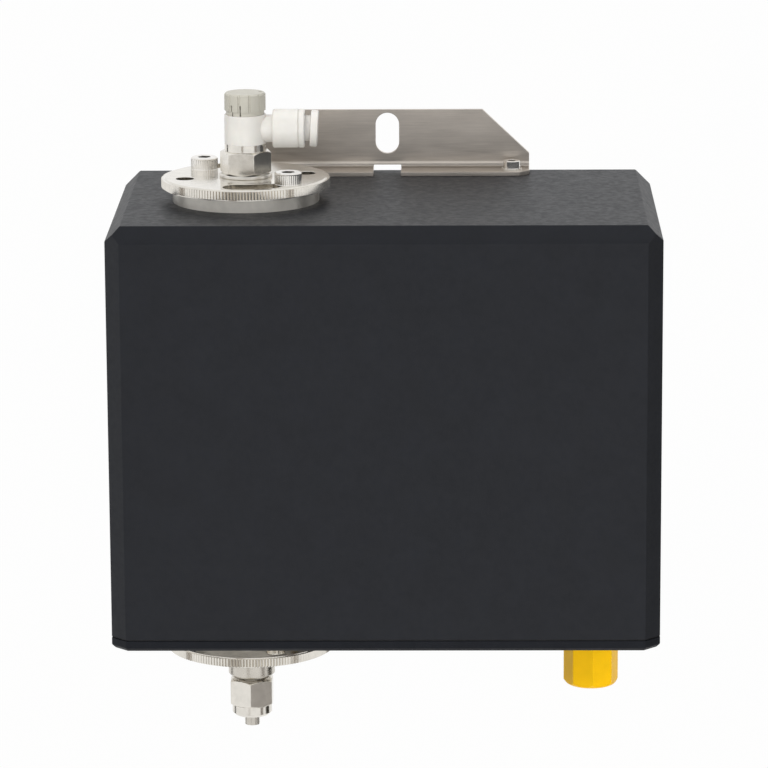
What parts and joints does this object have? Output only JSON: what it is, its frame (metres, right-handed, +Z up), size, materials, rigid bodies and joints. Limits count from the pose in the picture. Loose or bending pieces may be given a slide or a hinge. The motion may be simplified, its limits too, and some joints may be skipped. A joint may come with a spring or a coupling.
{
  "type": "turbidity sensor",
  "caption": "Wall-hung flow-through turbidity sensor: black box housing, stainless measuring cell with knurled end discs, flow regulator elbow, tube fitting and capped connector.",
  "frame": {"origin": "centre of the hanging bracket's slot, on the wall plane", "axes": "+Z up, +Y into the wall, +X to the right seen from the front"},
  "size_m": [0.18, 0.105, 0.2173],
  "materials": {
    "black_aluminium": "matte black anodised",
    "black_rubber": "matte",
    "stainless_steel": "turned",
    "brushed_stainless": "brushed",
    "screw_steel": "bright",
    "grey_washer": "satin",
    "white_plastic": "satin",
    "grey_beige_plastic": "satin",
    "yellow_plastic": "satin",
    "black_plastic": "matte",
    "clear_glass": "polished",
    "nickel_plated_brass": "nickel plated",
    "gold_plated_brass": "gold plated",
    "green_board": "solder mask"
  },
  "bodies": {
    "sensor": {"housing_cover": "black_aluminium", "base_gasket": "black_rubber", "base_plate": "black_aluminium", "base_screws": "screw_steel", "hanging_bracket": "brushed_stainless", "bracket_washers": "brushed_stainless", "bracket_screws": "screw_steel", "flow_cell": "stainless_steel", "cell_top_seal": "black_rubber", "cell_bottom_seal": "black_rubber", "window_seals": "black_rubber", "windows": "clear_glass", "light_source_holder": "black_plastic", "detector_holders": "black_plastic", "holder_screws": "screw_steel", "collimating_lens": "clear_glass", "light_source": "black_plastic", "photodiodes": "black_plastic", "upper_disc_screws": "screw_steel", "lower_disc": "stainless_steel", "lower_disc_seal": "black_rubber", "lower_disc_screws": "screw_steel", "fitting_washer": "grey_washer", "fitting_body": "stainless_steel", "front_ferrule": "stainless_steel", "back_ferrule": "stainless_steel", "fitting_tube": "stainless_steel", "connector_seal": "black_rubber", "connector_shell": "nickel_plated_brass", "connector_lock_nut": "nickel_plated_brass", "connector_insert": "black_plastic", "connector_pins": "gold_plated_brass", "board_standoffs": "nickel_plated_brass", "circuit_board": "green_board", "board_components": "black_plastic", "board_screws": "screw_steel"},
    "upper_cover": {"upper_disc": "stainless_steel", "upper_disc_seal": "black_rubber", "regulator_washer": "grey_washer", "regulator_base": "stainless_steel", "swivel_seal": "black_rubber"},
    "elbow": {"regulator_body": "white_plastic", "port_seal": "black_rubber", "port_grip_ring": "stainless_steel", "port_guide_ring": "black_plastic"},
    "release_collar": {"port_collar": "white_plastic"},
    "knob": {"regulator_knob": "grey_beige_plastic"},
    "needle": {"regulator_needle": "stainless_steel", "needle_seal": "black_rubber"},
    "nut": {"fitting_nut": "stainless_steel"},
    "cap": {"connector_cap": "yellow_plastic"}
  },
  "joints": [
    {"name": "upper_disc_turn", "type": "hinge", "parent": "sensor", "child": "upper_cover", "pos_m": [-0.0462, -0.0542, -0.0086], "axis": [0, 0, 1], "range_deg": [0, 50]},
    {"name": "elbow_swivel", "type": "hinge", "parent": "upper_cover", "child": "elbow", "pos_m": [-0.0462, -0.0542, 0.006], "axis": [0, 0, 1], "continuous": true},
    {"name": "collar_press", "type": "slide", "parent": "elbow", "child": "release_collar", "axis": [-1, 0, 0], "range_m": [0, 0.0013]},
    {"name": "knob_turn", "type": "hinge", "parent": "elbow", "child": "knob", "pos_m": [-0.0462, -0.0542, 0.0157], "axis": [0, 0, 1], "range_deg": [0, 1440]},
    {"name": "needle_lift", "type": "slide", "parent": "elbow", "child": "needle", "axis": [0, 0, 1], "range_m": [0, 0.002]},
    {"name": "nut_turn", "type": "hinge", "parent": "sensor", "child": "nut", "pos_m": [-0.0462, -0.0542, -0.178], "axis": [0, 0, -1], "range_deg": [0, 450]},
    {"name": "cap_pull", "type": "slide", "parent": "sensor", "child": "cap", "axis": [0, 0, -1], "range_m": [0, 0.022]}
  ],
  "couplings": [
    {"joint": "knob_turn", "follows": "needle_lift", "rad_per_m": 12566}
  ]
}
